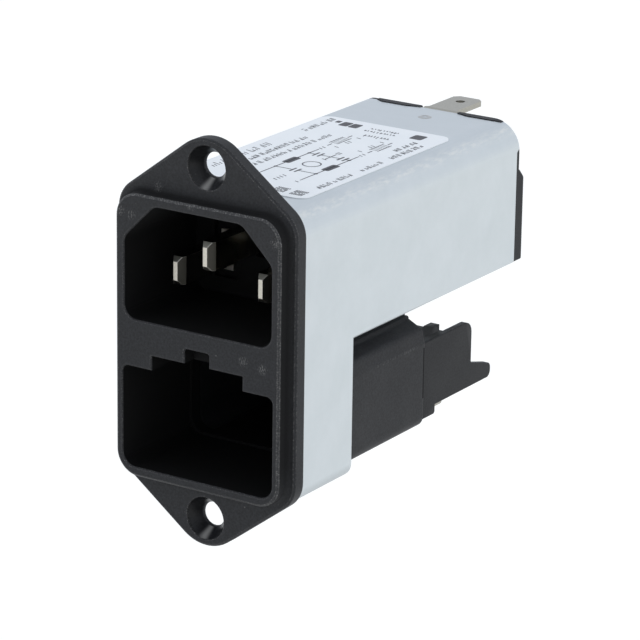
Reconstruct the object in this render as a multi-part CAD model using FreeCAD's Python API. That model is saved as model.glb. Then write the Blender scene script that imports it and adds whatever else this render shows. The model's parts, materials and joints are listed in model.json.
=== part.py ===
import FreeCAD, Part
import math
import os

Vector = FreeCAD.Vector

# Panel power inlet with a line filter and a fuse bay. Sizes are in millimetres.
# +Z is up, the front faces -Y, and +X is to the right of someone who faces the front.
# The origin is on the flange's back face, midway between the two screw holes.

# Flange and screw ears
hole_gap = 4.65
hole_d = 3.5
sink_d = 6.2
sink_rim = 0.25
sink_land = 0.4
flange_t = 2.6
flange_step = 1.25
flange_edge = 0.3
flange_rear = 0.55
ear_flank = 4.45
ear_r = 6.1
shoulder_drop = 0.88
shoulder_r = 4.5

# Bezel that stands proud of the flange
bezel_proud = 2.25
bezel_lap = 0.45
bezel_rim = 1.35
bezel_r = 3.5
bezel_edge = 0.3
bezel_cove_r = 0.7
mouth_edge = 0.15
crisp_r = 0.4

# Inlet recess
inlet_w = 24.2
inlet_h = 16.5
inlet_z = 2.4
inlet_chamfer = 5.0
inlet_r = 2.0
inlet_depth = 17.15
inlet_wall = 0.85
inlet_roof = 0.95
inlet_back = 2.0
pocket_w = 3.9
pocket_h = 8.0
pocket_depth = 0.9

# Pins
pin_w = 2.0
pin_h = 4.0
pin_pitch = 14.0
pin_row = 6.25
earth_rise = 4.0
pin_land_w = 0.65
pin_land_h = 2.65
pin_taper_w = 1.2
pin_taper_h = 0.7
pin_collar_h = 5.8
pin_collar_t = 0.6
pin_tail = 3.0
pin_fit = 0.05
live_set_back = 4.95
earth_set_back = 1.95

# Fuse bay, with a wide key and a narrow notch in its roof
bay_w = 24.8
bay_h = 14.6
bay_z = -4.4
bay_r = 2.0
bay_top_r = 1.0
bay_wall = 0.6
bay_floor = 0.5
bay_mouth = 16.15
bay_step = 0.4
key_w = 15.0
key_rise = 2.1
key_roof = 1.7
notch_w = 4.1
notch_rise = 2.1
notch_depth = 2.4

# Fuse block behind the bay
block_len = 33.1
block_lean = 0.45
block_lean_h = 2.05
block_fall = 1.15
block_roof = 0.8
block_top_r = 0.8
step_w = 20.5
step_rise = 0.42
step_r = 0.3
rail_w = 19.2

# Contact carrier behind the block
carrier_fit = 0.1
carrier_step = 0.35
seam_gap = 0.35
seam_depth = 0.6
seam_low = -14.7
seam_high = -7.7
carrier_len = 3.8
carrier_z = -18.45
spigot_len = 1.5
wing_t = 0.9
wing_rear = 46.8
wing_z = -17.1
wing_top = -7.0
wing_r = 1.8
tongue_rear = 52.45
tongue_h = 2.05
tongue_root = 3.55
tongue_r = 0.95
shelf_len = 3.25
shelf_t = 1.2
nub_w = 1.45
nub_set = 1.5
nub_rise = 0.85
nub_len = 1.9

# Metal can
can_sheet = 0.4
can_fit = 0.1
can_len = 57.0
can_low_len = 13.4
can_top_r = 4.3
can_far_r = 2.1
can_low_r = 2.2
can_fold_r = 0.5
can_groove = 0.3
window_w = 18.6
window_start = 1.5
window_len = 16.5

# Label on the can's top
label_w = 21.7
label_x = -0.8
label_start = 5.6
label_rear = 12.5
label_r = 1.8
label_t = 0.1

# Rear cap
cap_rim = 0.65
cap_face = 1.4
cap_plug = 3.2
cap_wall = 0.8
platform_proud = 2.8
platform_top = 11.2
platform_ramp = 2.3
platform_r = 1.0
tab_gap = 6.2
tab_fit = 0.1
lug_in = 3.1
lug_out = 10.75
lug_slope_in = 2.0
lug_slope_out = 1.2
lug_depth = 0.8
lug_rise = 0.1

# Tabs
tab_t = 0.8
earth_tab_w = 4.8
earth_tab_out = 8.95
earth_tab_in = 11.0
earth_root_w = 6.0
earth_root_out = 0.8
earth_root_r = 0.5
joggle_run = 0.8
tab_hole_d = 1.4
tab_hole_back = 2.75
tab_chamfer = 0.75
load_tab_w = 6.3
load_tab_pitch = 13.0
load_tab_out = 8.0
load_tab_in = 5.2

# Fuse clips
clip_t = 0.8
clip_z = -14.3
clip_h = 4.0
tail_gap = 0.1
tail_len = 3.6
tail_w = 6.3
tail_drop = 1.0
riser_x = 8.6
riser_len = 3.0
riser_back = 2.9
clip_bend_r = 0.2
spring_t = 0.6
spring_w = 3.0
spring_depth = 4.6
spring_throw = 2.6

# Filter parts on their board
board_t = 1.2
board_w = 24.0
board_gap = 1.3
board_end = 0.1
ledge_w = 2.6
ledge_lap = 1.4
part_gap = 0.8
core_wall = 4.0
core_h = 8.0
winding_t = 0.9
winding_fit = 0.05
winding_sweep = 140.0
x_cap_w = 18.0
x_cap_t = 7.0
x_cap_h = 13.0
x_cap_r = 0.4
y_cap_d = 8.0
y_cap_t = 3.2
y_cap_pitch = 10.4
resistor_d = 2.3
resistor_len = 6.3
resistor_x = 10.4
strap_t = 0.6
strap_w = 3.0
strap_lap = 4.0
strap_bend_r = 0.8

# Derived sizes
merge_gap = 1e-6
plane_gap = 0.05
reach_past = 1.0
body_w = max(bay_w + 2 * bay_wall, inlet_w + 2 * inlet_wall)
bezel_w = body_w + 2 * bezel_lap
flange_w = bezel_w + 2 * flange_step
can_inner_w = body_w + 2 * can_fit
can_w = can_inner_w + 2 * can_sheet
front_y = -(flange_t + bezel_proud)
inlet_top = inlet_z + inlet_h
inlet_end = front_y + inlet_depth
back_y = inlet_end + inlet_back
body_top = inlet_top + inlet_roof
bay_bottom = bay_z - bay_h
bezel_high = inlet_top + bezel_rim
bezel_low = bay_bottom - bezel_rim
bezel_reach = max(bezel_high, -bezel_low)
hole_z = bezel_reach + hole_gap
shoulder_z = bezel_reach - shoulder_drop
body_bottom = bay_bottom - bay_floor
key_top = bay_z + key_rise
block_top = key_top + key_roof
can_top = body_top + can_fit + can_sheet
can_bottom = body_bottom - can_fit - can_sheet
can_floor = block_top + can_fit
can_floor_in = can_floor + can_sheet
body_in = can_sheet + can_fit
body_low_r = can_low_r - can_sheet - can_fit
live_z = inlet_z + pin_row
earth_z = live_z + earth_rise
tail_end = back_y + pin_tail
bulkhead_y = block_len
bulkhead_end = bulkhead_y + carrier_len
carrier_w = body_w - 2 * carrier_step
wing_in = carrier_w / 2 - wing_t
clip_x = wing_in - tail_gap - clip_t / 2
cap_z = can_floor_in + can_fit
board_z = cap_z + cap_wall
board_top = board_z + board_t
board_start = tail_end + board_gap
board_stop = can_len - cap_face - board_end
y_cap_y = board_start + part_gap
x_cap_y = can_len - load_tab_in - part_gap - x_cap_t
choke_start = y_cap_y + y_cap_t + part_gap
core_od = x_cap_y - part_gap - choke_start - 2 * winding_t
core_id = core_od - 2 * core_wall
choke_y = choke_start + winding_t + core_od / 2
tab_top = can_top - can_sheet
tab_under = tab_top - tab_t


def outline(points, radii):
    """Closed wire through the points, each corner rounded by its own radius."""
    spans = []
    for i, corner in enumerate(points):
        back = (points[i - 1] - corner).normalize()
        ahead = (points[(i + 1) % len(points)] - corner).normalize()
        if radii[i] > 0:
            half = back.getAngle(ahead) / 2
            reach = radii[i] / math.tan(half)
            rise = radii[i] / math.sin(half) - radii[i]
            inward = (back + ahead).normalize()
            spans.append((corner + back * reach, corner + inward * rise, corner + ahead * reach))
        else:
            spans.append((corner, None, corner))
    edges = []
    for i, (start, middle, end) in enumerate(spans):
        if middle is not None:
            edges.append(Part.Arc(start, middle, end).toShape())
        following = spans[(i + 1) % len(spans)][0]
        if (following - end).Length > merge_gap:
            edges.append(Part.LineSegment(end, following).toShape())
    return Part.Wire(edges)


def along_y(corners, start, end):
    """Prism along Y from (x, z, radius) corners."""
    points = [Vector(x, start, z) for x, z, radius in corners]
    wire = outline(points, [corner[2] for corner in corners])
    return Part.Face(wire).extrude(Vector(0, end - start, 0))


def along_x(corners, start, end):
    """Prism along X from (y, z, radius) corners."""
    points = [Vector(start, y, z) for y, z, radius in corners]
    wire = outline(points, [corner[2] for corner in corners])
    return Part.Face(wire).extrude(Vector(end - start, 0, 0))


def along_z(corners, start, end):
    """Prism along Z from (x, y, radius) corners."""
    points = [Vector(x, y, start) for x, y, radius in corners]
    wire = outline(points, [corner[2] for corner in corners])
    return Part.Face(wire).extrude(Vector(0, 0, end - start))


def block(x, y, z):
    """Plain block between the two ends of each axis."""
    return Part.makeBox(x[1] - x[0], y[1] - y[0], z[1] - z[0], Vector(x[0], y[0], z[0]))


def upright(width, low, high, low_r, high_r):
    """Corners of an upright rectangle, centred on x, with its own radius below and above."""
    half = width / 2
    return [(-half, low, low_r), (half, low, low_r), (half, high, high_r), (-half, high, high_r)]


def can_section(low, low_r, shrink):
    """Corners of the can's section above low, drawn in by shrink; the far upper corner is tighter."""
    half = can_w / 2 - shrink
    high = can_top - shrink
    return [(-half, low, low_r), (half, low, low_r), (half, high, can_top_r - shrink),
            (-half, high, can_far_r - shrink)]


def mirrored(corners):
    """Full section from its right-hand corners, listed from the bottom up."""
    left = [(-x, z, radius) for x, z, radius in reversed(corners)]
    return corners + left


def edges_at(shape, y, half_width, low, high):
    """Edges that lie in the plane y, within a window of that half width and height."""
    found = []
    for edge in shape.Edges:
        box = edge.BoundBox
        flat = abs(box.YMin - y) < plane_gap and abs(box.YMax - y) < plane_gap
        inside = max(-box.XMin, box.XMax) < half_width and box.ZMin > low and box.ZMax < high
        if flat and inside:
            found.append(edge)
    return found


def inlet_corners():
    """Eight-sided inlet outline, with the two upper corners cut off."""
    half = inlet_w / 2
    flat = half - inlet_chamfer
    side = inlet_top - inlet_chamfer
    return mirrored([(half, inlet_z, inlet_r), (half, side, inlet_r), (flat, inlet_top, inlet_r)])


def bay_corners(shrink):
    """Fuse bay outline with the key step in its roof, drawn in by shrink."""
    half = bay_w / 2 - shrink
    key = key_w / 2 - shrink
    roof = bay_z - shrink
    right = [(half, bay_bottom + shrink, bay_r), (half, roof, bay_top_r)]
    right += [(key, roof, 0), (key, key_top - shrink, 0)]
    return mirrored(right)


def block_corners():
    """Section of the fuse block: leaning upper sides, a sloped roof, a low step and a rail."""
    half = body_w / 2
    roof_z = bay_z + block_roof
    corner_z = roof_z - block_fall
    rail = rail_w / 2
    step = step_w / 2
    step_z = roof_z + step_rise
    right = [(half, body_bottom, body_low_r), (half, corner_z - block_lean_h, 0)]
    right += [(half - block_lean, corner_z, block_top_r), (step, roof_z, 0), (step, step_z, step_r)]
    right += [(rail, step_z, 0), (rail, block_top, 0)]
    return mirrored(right)


def pin_places():
    """Name, x, z and set-back of each pin."""
    half = pin_pitch / 2
    return [("line_pin", -half, live_z, live_set_back), ("neutral_pin", half, live_z, live_set_back),
            ("earth_pin", 0, earth_z, earth_set_back)]


def flange_plate():
    """Flange with two ears whose flanks run straight from the shoulders to the ears."""
    half = flange_w / 2
    away = math.hypot(half, hole_z - shoulder_z)
    flank = math.acos(ear_flank / away) - math.atan2(hole_z - shoulder_z, half)
    apex = hole_z + ear_flank / math.sin(flank)
    corners = [(0, apex, ear_r), (-half, shoulder_z, shoulder_r), (-half, -shoulder_z, shoulder_r)]
    corners += [(0, -apex, ear_r), (half, -shoulder_z, shoulder_r), (half, shoulder_z, shoulder_r)]
    plate = along_y(corners, -flange_t, 0)
    plate = plate.makeChamfer(flange_edge, edges_at(plate, -flange_t, flange_w, -apex, apex))
    return plate.makeChamfer(flange_rear, edges_at(plate, 0, flange_w, -apex, apex))


def bezel():
    """Raised rounded frame round both openings."""
    frame = along_y(upright(bezel_w, bezel_low, bezel_high, bezel_r, bezel_r), front_y, -flange_t / 2)
    rim = edges_at(frame, front_y, bezel_w, 2 * bezel_low, 2 * bezel_high)
    return frame.makeChamfer(bezel_edge, rim)


def screw_hole(z):
    """Through hole with a deep countersink between a short straight rim and a short land."""
    sink_r = sink_d / 2
    hole_r = hole_d / 2
    along = Vector(0, 1, 0)
    start = -flange_t - reach_past
    through = Part.makeCylinder(hole_r, flange_t + 2 * reach_past, Vector(0, start, z), along)
    rim = Part.makeCylinder(sink_r, sink_rim + reach_past, Vector(0, start, z), along)
    cone_len = flange_t - sink_rim - sink_land
    cone = Part.makeCone(sink_r, hole_r, cone_len, Vector(0, sink_rim - flange_t, z), along)
    return through.fuse([rim, cone])


def pin_cut(x, z):
    """Pocket in the recess's back wall and the slot that the pin passes through."""
    half_w = pocket_w / 2
    half_h = pocket_h / 2
    pocket = block((x - half_w, x + half_w), (inlet_end - reach_past, inlet_end + pocket_depth),
                   (z - half_h, z + half_h))
    slot_w = pin_w / 2 + pin_fit
    slot_h = pin_h / 2 + pin_fit
    slot = block((x - slot_w, x + slot_w), (inlet_end, back_y + reach_past), (z - slot_h, z + slot_h))
    return pocket.fuse(slot)


def bay_cut():
    """Fuse bay that narrows behind its mouth, and the notch in the mouth."""
    half = notch_w / 2
    mouth = along_y(bay_corners(0), front_y - reach_past, front_y + bay_mouth)
    bay = mouth.fuse(along_y(bay_corners(bay_step), front_y, block_len + reach_past))
    notch = along_y(mirrored([(half, bay_z, 0), (half, key_top + notch_rise, crisp_r)]),
                    front_y - reach_past, front_y + notch_depth)
    return bay.fuse(notch)


def clip_slots():
    """Slots in the block's roof for the fuse clips that rise into the can."""
    spring_y = tail_end + spring_t / 2
    slots = []
    for side in (-1, 1):
        spring_x = side * pin_pitch / 2
        slots.append(block((spring_x - spring_w / 2 - pin_fit, spring_x + spring_w / 2 + pin_fit),
                           (spring_y - spring_t / 2 - pin_fit, spring_y + spring_t / 2 + pin_fit),
                           (bay_z - reach_past, block_top + reach_past)))
        rise_x = side * riser_x
        rise_y = block_len - spigot_len - riser_back
        slots.append(block((rise_x - clip_t / 2 - pin_fit, rise_x + clip_t / 2 + pin_fit),
                           (rise_y - riser_len - pin_fit, rise_y + pin_fit),
                           (bay_z - reach_past, block_top + reach_past)))
    return slots


def groove():
    """Shallow groove in the flange's back that takes the can's front edge."""
    outer = can_section(can_bottom - can_fit, can_low_r + can_fit, -can_fit)
    inner = can_section(body_bottom, body_low_r, body_in)
    return along_y(outer, -can_groove, reach_past).cut(along_y(inner, -can_groove, reach_past))


def board_ledges():
    """Two lugs behind the inlet that the front of the filter board lies on."""
    outer = board_w / 2
    lugs = []
    for side in (-1, 1):
        ends = sorted((side * outer, side * (outer - ledge_w)))
        lugs.append(block(ends, (inlet_end, board_start + ledge_lap), (cap_z, board_z)))
    return lugs


def front_housing():
    """One moulding: flange, bezel, inlet socket, fuse bay and fuse block."""
    plate = flange_plate().fuse(bezel())
    foot = edges_at(plate, -flange_t, bezel_w / 2 + plane_gap, bezel_low - plane_gap,
                    bezel_high + plane_gap)
    plate = plate.makeFillet(bezel_cove_r, foot)
    plug = along_y(can_section(body_bottom, body_low_r, body_in), -flange_t / 2, can_low_len - body_in)
    socket = along_y(can_section(cap_z, 0, body_in), -flange_t / 2, back_y)
    rear = along_y(block_corners(), -flange_t / 2, block_len)
    solid = plate.fuse([plug, socket, rear] + board_ledges()).removeSplitter()
    recess = along_y(inlet_corners(), front_y - reach_past, inlet_end)
    solid = solid.cut([recess, bay_cut()])
    mouth_w = max(bay_w, inlet_w) / 2 + plane_gap
    mouths = edges_at(solid, front_y, mouth_w, bay_bottom - plane_gap, inlet_top + plane_gap)
    solid = solid.makeChamfer(mouth_edge, mouths)
    holes = [screw_hole(side * hole_z) for side in (-1, 1)]
    sockets = [pin_cut(x, z) for name, x, z, set_back in pin_places()]
    return solid.cut(holes + sockets + clip_slots() + [groove()])


def pin(x, z, set_back):
    """Flat pin with a tapered tip, a collar in its pocket and a tail behind the wall."""
    tip = front_y + set_back
    half_w = pin_w / 2
    half_h = pin_h / 2
    plan = [(x - pin_land_w / 2, tip, 0), (x + pin_land_w / 2, tip, 0), (x + half_w, tip + pin_taper_w, 0),
            (x + half_w, tail_end, 0), (x - half_w, tail_end, 0), (x - half_w, tip + pin_taper_w, 0)]
    side = [(tip, z - pin_land_h / 2, 0), (tip + pin_taper_h, z - half_h, 0), (tail_end, z - half_h, 0),
            (tail_end, z + half_h, 0), (tip + pin_taper_h, z + half_h, 0), (tip, z + pin_land_h / 2, 0)]
    blade = along_z(plan, z - half_h, z + half_h).common(along_x(side, x - half_w, x + half_w))
    floor = inlet_end + pocket_depth
    collar = block((x - half_w, x + half_w), (floor - pin_collar_t, floor),
                   (z - pin_collar_h / 2, z + pin_collar_h / 2))
    return blade.fuse(collar).removeSplitter()


def carrier_side():
    """Side outline of a wing: square top, rounded rear corner and a tongue that tapers to the rear."""
    tongue_top = wing_z + tongue_h
    return [(bulkhead_y, carrier_z, 0), (bulkhead_end, carrier_z, crisp_r), (bulkhead_end, wing_z, 0),
            (tongue_rear, wing_z, tongue_r), (tongue_rear, tongue_top, tongue_r),
            (wing_rear, wing_z + tongue_root, crisp_r), (wing_rear, wing_top, wing_r),
            (bulkhead_y, wing_top, 0)]


def contact_carrier():
    """Rear piece of the fuse block: bulkhead with a spigot, two wings, a shelf and two nubs."""
    half = carrier_w / 2
    wings = along_x(carrier_side(), -half, half)
    space = block((-wing_in, wing_in), (bulkhead_end, tongue_rear + reach_past),
                  (carrier_z - reach_past, wing_top + reach_past))
    solid = wings.cut(space)
    spigot = along_y(bay_corners(bay_step + carrier_fit), bulkhead_y - spigot_len, bulkhead_y)
    shelf_end = bulkhead_end + shelf_len
    shelf = block((-half, half), (bulkhead_y, shelf_end), (wing_top - shelf_t, wing_top))
    added = [spigot, shelf]
    outer = half - nub_set
    for side in (-1, 1):
        ends = sorted((side * outer, side * (outer - nub_w)))
        added.append(block(ends, (shelf_end - nub_len, shelf_end),
                           (wing_top - shelf_t, wing_top + nub_rise)))
    solid = solid.fuse(added).removeSplitter()
    slots = []
    for side in (-1, 1):
        ends = sorted((side * half, side * (half - seam_depth)))
        slots.append(block(ends, (bulkhead_y, bulkhead_y + seam_gap), (seam_low, seam_high)))
        middle = side * clip_x
        slots.append(block((middle - clip_t / 2 - pin_fit, middle + clip_t / 2 + pin_fit),
                           (bulkhead_y - spigot_len - reach_past, bulkhead_end + reach_past),
                           (clip_z - clip_h / 2 - pin_fit, clip_z + clip_h / 2 + pin_fit)))
    return solid.cut(slots)


def lug_corners(side, shrink):
    """Plan of a notch in the can's rear top edge, or of the cap's lug in it, drawn in by shrink."""
    near = side * (lug_in + shrink)
    far = side * (lug_out - shrink)
    floor = can_len - lug_depth + shrink
    rear = can_len + cap_rim
    return [(near, rear, 0), (near, can_len, 0), (near + side * lug_slope_in, floor, 0),
            (far - side * lug_slope_out, floor, 0), (far, can_len, 0), (far, rear, 0)]


def metal_can():
    """Thin sheet can: a long box above, and a short sleeve below its front."""
    upper = along_y(can_section(can_floor, can_fold_r, 0), -can_groove, can_len)
    middle = (can_floor + can_top) / 2
    sleeve = along_y(upright(can_w, can_bottom, middle, can_low_r, 0), -can_groove, can_low_len)
    inner_low_r = can_low_r - can_sheet
    room = along_y(can_section(can_floor_in, 0, can_sheet), -reach_past, can_len + reach_past)
    throat = along_y(upright(can_inner_w, can_bottom + can_sheet, middle, inner_low_r, 0),
                     -reach_past, can_low_len)
    window_y = can_low_len + window_start
    window = block((-window_w / 2, window_w / 2), (window_y, window_y + window_len),
                   (can_floor - reach_past, can_floor_in + reach_past))
    notches = [along_z(lug_corners(side, 0), can_top - can_top_r, can_top + reach_past) for side in (-1, 1)]
    return upper.fuse(sleeve).removeSplitter().cut([room, throat, window] + notches)


def rating_label():
    """Film that follows the can's top, with rounded corners."""
    near = label_x + label_w / 2
    far = label_x - label_w / 2
    end = can_len - label_rear
    corners = [(far, label_start, label_r), (near, label_start, label_r), (near, end, label_r),
               (far, end, label_r)]
    sheet = along_z(corners, can_top - can_top_r, can_top + reach_past)
    skin = along_y(can_section(can_floor, 0, -label_t), 0, can_len)
    under = along_y(can_section(can_floor, 0, 0), 0, can_len)
    return sheet.common(skin.cut(under))


def rear_cap():
    """Cap with a skirt in the can, a thin rim, two lugs in the can's notches and a lower platform."""
    plug_start = can_len - cap_plug
    face_start = can_len - cap_face
    plug = along_y(can_section(cap_z, 0, body_in), plug_start, can_len)
    hollow = along_y(can_section(board_z, 0, body_in + cap_wall), plug_start - reach_past, face_start)
    low = can_floor
    rim_w = can_w
    rim = along_y(can_section(can_floor, can_fold_r, 0), can_len, can_len + cap_rim)
    skin = along_y(can_section(can_floor, can_fold_r, -lug_rise), plug_start, can_len + cap_rim)
    lugs = [along_z(lug_corners(side, tab_fit), body_top - cap_wall, can_top + lug_rise).common(skin)
            for side in (-1, 1)]
    rear = can_len + platform_proud
    rim_y = can_len + cap_rim
    ramp_top = platform_top + platform_ramp
    profile = [(can_len, low, 0), (rear, low, platform_r), (rear, platform_top, platform_r),
               (rim_y, ramp_top, platform_r), (can_len, ramp_top, 0)]
    platform = along_x(profile, -rim_w / 2, rim_w / 2)
    platform = platform.common(along_z([(-rim_w / 2, can_len, 0), (rim_w / 2, can_len, 0),
                                        (rim_w / 2, rear, platform_r), (-rim_w / 2, rear, platform_r)],
                                       low, ramp_top))
    solid = plug.cut(hollow).fuse([rim, platform] + lugs).removeSplitter()
    slots = [block((-tab_gap / 2, tab_gap / 2), (plug_start - reach_past, can_len + cap_rim + reach_past),
                   (tab_under - tab_fit, can_top + reach_past))]
    for side in (-1, 1):
        middle = side * load_tab_pitch / 2
        slots.append(block((middle - tab_t / 2 - tab_fit, middle + tab_t / 2 + tab_fit),
                           (face_start - reach_past, rear + reach_past),
                           (board_top - tab_fit, board_top + load_tab_w + tab_fit)))
    return solid.cut(slots)


def earth_tab():
    """Tab with a wider root under the can's top, a joggle up to the can's level, and a hole."""
    tip = can_len + earth_tab_out
    root = can_len + earth_root_out
    start = can_len - earth_tab_in
    half = earth_tab_w / 2
    wide = earth_root_w / 2
    neck = root + earth_root_r
    right = [(wide, start, 0), (wide, root, earth_root_r), (half, neck, earth_root_r),
             (half, tip - tab_chamfer, 0), (half - tab_chamfer, tip, 0)]
    corners = mirrored(right)
    foot = can_len + tab_fit
    crest = foot + joggle_run
    raised = can_top - tab_t
    side = [(start, tab_under, 0), (foot, tab_under, 0), (crest, raised, 0), (tip, raised, 0),
            (tip, can_top, 0), (crest, can_top, 0), (foot, tab_top, 0), (start, tab_top, 0)]
    blade = along_z(corners, tab_under, can_top).common(along_x(side, -wide, wide))
    hole = Part.makeCylinder(tab_hole_d / 2, tab_t + 2 * reach_past,
                             Vector(0, tip - tab_hole_back, tab_under - reach_past))
    return blade.cut(hole)


def load_tab(side):
    """Upright tab that stands on the board and leaves through the platform."""
    tip = can_len + platform_proud + load_tab_out
    start = can_len - load_tab_in
    low = board_top
    high = board_top + load_tab_w
    middle = side * load_tab_pitch / 2
    profile = [(start, low, 0), (tip - tab_chamfer, low, 0), (tip, low + tab_chamfer, 0),
               (tip, high - tab_chamfer, 0), (tip - tab_chamfer, high, 0), (start, high, 0)]
    blade = along_x(profile, middle - tab_t / 2, middle + tab_t / 2)
    hole = Part.makeCylinder(tab_hole_d / 2, tab_t + 2 * reach_past,
                             Vector(middle - tab_t / 2 - reach_past, tip - tab_hole_back,
                                    (low + high) / 2), Vector(1, 0, 0))
    return blade.cut(hole)


def front_clip(side):
    """Strip that hangs from a pin's tail into the fuse bay and ends in a bent spring leaf."""
    middle = side * pin_pitch / 2
    near = tail_end
    far = tail_end + spring_t
    bend = bay_z - spring_depth / 2
    foot = bay_z - spring_depth
    head = live_z + pin_h / 2
    profile = [(near, head, 0), (near, bend, spring_t), (near - spring_throw, foot, 0),
               (far - spring_throw, foot - spring_t, 0), (far, bend - spring_t, spring_t), (far, head, 0)]
    return along_x(profile, middle - spring_w / 2, middle + spring_w / 2)


def rear_clip(side):
    """Strip through the carrier: a tail between the wings, and a riser to the board."""
    start = block_len - spigot_len - riser_back - riser_len
    root = bulkhead_end
    tip = bulkhead_end + tail_len
    low = clip_z - clip_h / 2
    high = clip_z + clip_h / 2
    tail_low = wing_z - tail_drop
    tail_high = tail_low + tail_w
    x = sorted((side * (clip_x - clip_t / 2), side * (clip_x + clip_t / 2)))
    profile = [(start, low, 0), (root, low, 0), (root, tail_low, 0), (tip, tail_low, crisp_r),
               (tip, tail_high, crisp_r), (root, tail_high, 0), (root, high, 0), (start, high, 0)]
    blade = along_x(profile, x[0], x[1])
    near = riser_x - clip_t / 2
    far = riser_x + clip_t / 2
    reach = clip_x + clip_t / 2
    shelf = high - clip_t
    fold = [(side * near, shelf, clip_bend_r), (side * reach, shelf, 0), (side * reach, high, 0),
            (side * far, high, clip_bend_r), (side * far, board_z, 0), (side * near, board_z, 0)]
    riser = along_y(fold, start, start + riser_len)
    return blade.fuse(riser).removeSplitter()


def filter_board():
    """Board that carries the filter's parts."""
    half = board_w / 2
    return block((-half, half), (board_start, board_stop), (board_z, board_top))


def choke_core():
    """Ferrite ring, flat above the board."""
    base = Vector(0, choke_y, board_top + winding_t)
    ring = Part.makeCylinder(core_od / 2, core_h, base)
    return ring.cut(Part.makeCylinder(core_id / 2, core_h, base))


def choke_winding(side):
    """Closed layer of wire round one half of the ring."""
    gap = winding_fit
    low = board_top
    high = low + core_h + 2 * winding_t
    start = Vector(0, choke_y, 0)
    outer = [(core_id / 2 - winding_t, low), (core_od / 2 + winding_t, low),
             (core_od / 2 + winding_t, high), (core_id / 2 - winding_t, high)]
    inner = [(core_id / 2 - gap, low + winding_t - gap), (core_od / 2 + gap, low + winding_t - gap),
             (core_od / 2 + gap, high - winding_t + gap), (core_id / 2 - gap, high - winding_t + gap)]
    rings = []
    for section in (outer, inner):
        points = [start + Vector(r, 0, z) for r, z in section]
        face = Part.Face(outline(points, [0] * len(points)))
        face.rotate(start, Vector(0, 0, 1), -winding_sweep / 2)
        rings.append(face.revolve(start, Vector(0, 0, 1), winding_sweep))
    sleeve = rings[0].cut(rings[1])
    if side < 0:
        sleeve.rotate(start, Vector(0, 0, 1), 180)
    return sleeve


def x_capacitor():
    """Boxed film capacitor across the two lines."""
    half = x_cap_w / 2
    rear = x_cap_y + x_cap_t
    corners = [(-half, x_cap_y, x_cap_r), (half, x_cap_y, x_cap_r), (half, rear, x_cap_r),
               (-half, rear, x_cap_r)]
    return along_z(corners, board_top, board_top + x_cap_h)


def y_capacitor(side):
    """Disc capacitor from one line to earth, standing on the board."""
    centre = Vector(side * y_cap_pitch / 2, y_cap_y, board_top + y_cap_d / 2)
    return Part.makeCylinder(y_cap_d / 2, y_cap_t, centre, Vector(0, 1, 0))


def bleed_resistor():
    """Axial resistor lying on the board."""
    base = Vector(resistor_x, y_cap_y, board_top + resistor_d / 2)
    return Part.makeCylinder(resistor_d / 2, resistor_len, base, Vector(0, 1, 0))


def earth_strap():
    """Bent strip from the earth pin's tail up to the underside of the earth tab."""
    near = tail_end
    low = earth_z - pin_h / 2
    end = can_len - earth_tab_in + strap_lap
    under = tab_under - strap_t
    far = tail_end + strap_t
    profile = [(near, low, 0), (far, low, 0), (far, under, strap_bend_r), (end, under, 0),
               (end, tab_under, 0), (near, tab_under, strap_bend_r + strap_t)]
    return along_x(profile, -strap_w / 2, strap_w / 2)


def pieces():
    """Every node of the assembly, by name."""
    found = {"front_housing": front_housing(), "contact_carrier": contact_carrier(),
             "metal_can": metal_can(), "rating_label": rating_label(), "rear_cap": rear_cap(),
             "earth_tab": earth_tab(), "filter_board": filter_board(), "choke_core": choke_core(),
             "x_capacitor": x_capacitor(), "bleed_resistor": bleed_resistor(),
             "earth_strap": earth_strap()}
    for name, x, z, set_back in pin_places():
        found[name] = pin(x, z, set_back)
    for pole, side in (("line", -1), ("neutral", 1)):
        found["load_tab_" + pole] = load_tab(side)
        found["fuse_clip_" + pole + "_front"] = front_clip(side)
        found["fuse_clip_" + pole + "_rear"] = rear_clip(side)
        found["choke_winding_" + pole] = choke_winding(side)
        found["y_capacitor_" + pole] = y_capacitor(side)
    return found


os.makedirs("parts", exist_ok=True)
for node, shape in pieces().items():
    shape.exportStep("parts/" + node + ".step")
    print(node, "valid" if shape.isValid() else "INVALID", len(shape.Solids), round(shape.Volume, 2))
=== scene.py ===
import bpy
import json
import math
import random
from mathutils import Matrix, Vector


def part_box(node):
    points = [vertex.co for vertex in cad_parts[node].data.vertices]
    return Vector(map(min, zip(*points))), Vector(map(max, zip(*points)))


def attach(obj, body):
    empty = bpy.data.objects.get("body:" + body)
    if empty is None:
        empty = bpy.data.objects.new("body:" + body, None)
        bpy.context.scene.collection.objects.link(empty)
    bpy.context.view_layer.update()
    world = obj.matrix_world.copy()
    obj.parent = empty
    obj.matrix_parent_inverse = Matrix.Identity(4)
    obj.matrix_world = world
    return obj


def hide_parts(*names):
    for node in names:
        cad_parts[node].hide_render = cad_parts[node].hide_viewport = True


# Panel power inlet with a filter can and an open fuse bay: finishes, label print, weld spot, two reshaped pieces,
# light and camera.

MM = 0.001

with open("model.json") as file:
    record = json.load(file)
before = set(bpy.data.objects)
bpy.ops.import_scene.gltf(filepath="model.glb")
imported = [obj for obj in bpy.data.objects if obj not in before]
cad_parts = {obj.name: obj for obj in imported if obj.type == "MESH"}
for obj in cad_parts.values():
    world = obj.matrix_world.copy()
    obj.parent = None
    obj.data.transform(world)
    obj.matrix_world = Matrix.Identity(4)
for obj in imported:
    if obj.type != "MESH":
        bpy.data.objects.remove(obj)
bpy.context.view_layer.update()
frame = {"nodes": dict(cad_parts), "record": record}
nodes = frame["nodes"]
bpy.ops.object.select_all(action="DESELECT")


# Node and colour helpers

def linear(code):
    """Linear RGBA from an sRGB hex code."""
    values = [int(code[i:i + 2], 16) / 255 for i in (1, 3, 5)]
    return [v / 12.92 if v <= 0.04045 else ((v + 0.055) / 1.055) ** 2.4 for v in values] + [1]


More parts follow.
